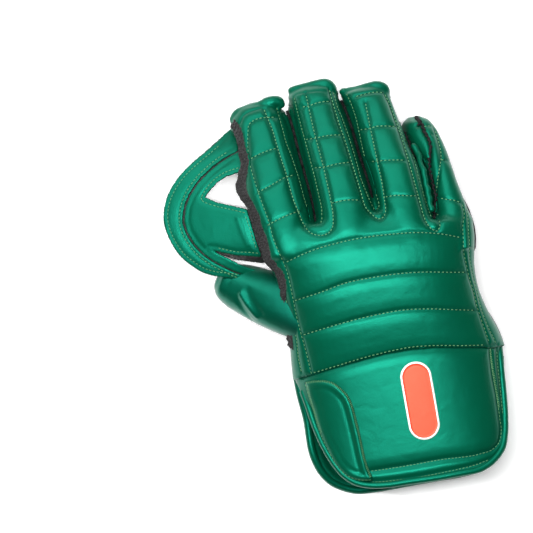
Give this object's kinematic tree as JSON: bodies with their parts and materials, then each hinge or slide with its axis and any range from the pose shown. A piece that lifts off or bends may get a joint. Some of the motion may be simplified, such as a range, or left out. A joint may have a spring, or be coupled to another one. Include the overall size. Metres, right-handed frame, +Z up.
{
  "type": "wicketkeeping glove",
  "caption": "Padded right-hand wicketkeeping glove with a quilted leather back, pimpled rubber palm, open cuff and a thumb web.",
  "frame": {"origin": "centre of the glove's plan outline, on the surface the glove lies on, palm down", "axes": "+Y from the cuff to the fingertips, +X toward the little finger's side, +Z up out of the back of the hand"},
  "size_m": [0.2328, 0.3086, 0.076],
  "materials": {
    "leather": "satin",
    "gusset_leather": "satin",
    "pimpled_rubber": "matte",
    "wrist_cloth": "matte",
    "badge_print": "satin"
  },
  "bodies": {
    "root": {"hand_back": "leather", "index_finger_back": "leather", "middle_finger_back": "leather", "ring_finger_back": "leather", "little_finger_back": "leather", "index_outer_gusset": "gusset_leather", "index_middle_gusset": "gusset_leather", "middle_ring_gusset": "gusset_leather", "ring_little_gusset": "gusset_leather", "little_outer_gusset": "gusset_leather", "palm_rubber": "pimpled_rubber", "index_finger_rubber": "pimpled_rubber", "middle_finger_rubber": "pimpled_rubber", "ring_finger_rubber": "pimpled_rubber", "little_finger_rubber": "pimpled_rubber", "wrist_fabric": "wrist_cloth", "thumb_back": "leather", "thumb_rubber": "pimpled_rubber", "cuff_back": "leather", "cuff_back_piping": "leather", "cuff_palm": "leather", "cuff_palm_piping": "leather", "cuff_trim": "leather", "cuff_badge": "badge_print", "web_band": "leather", "web_tee": "leather", "web_rubber": "pimpled_rubber"}
  },
  "joints": []
}
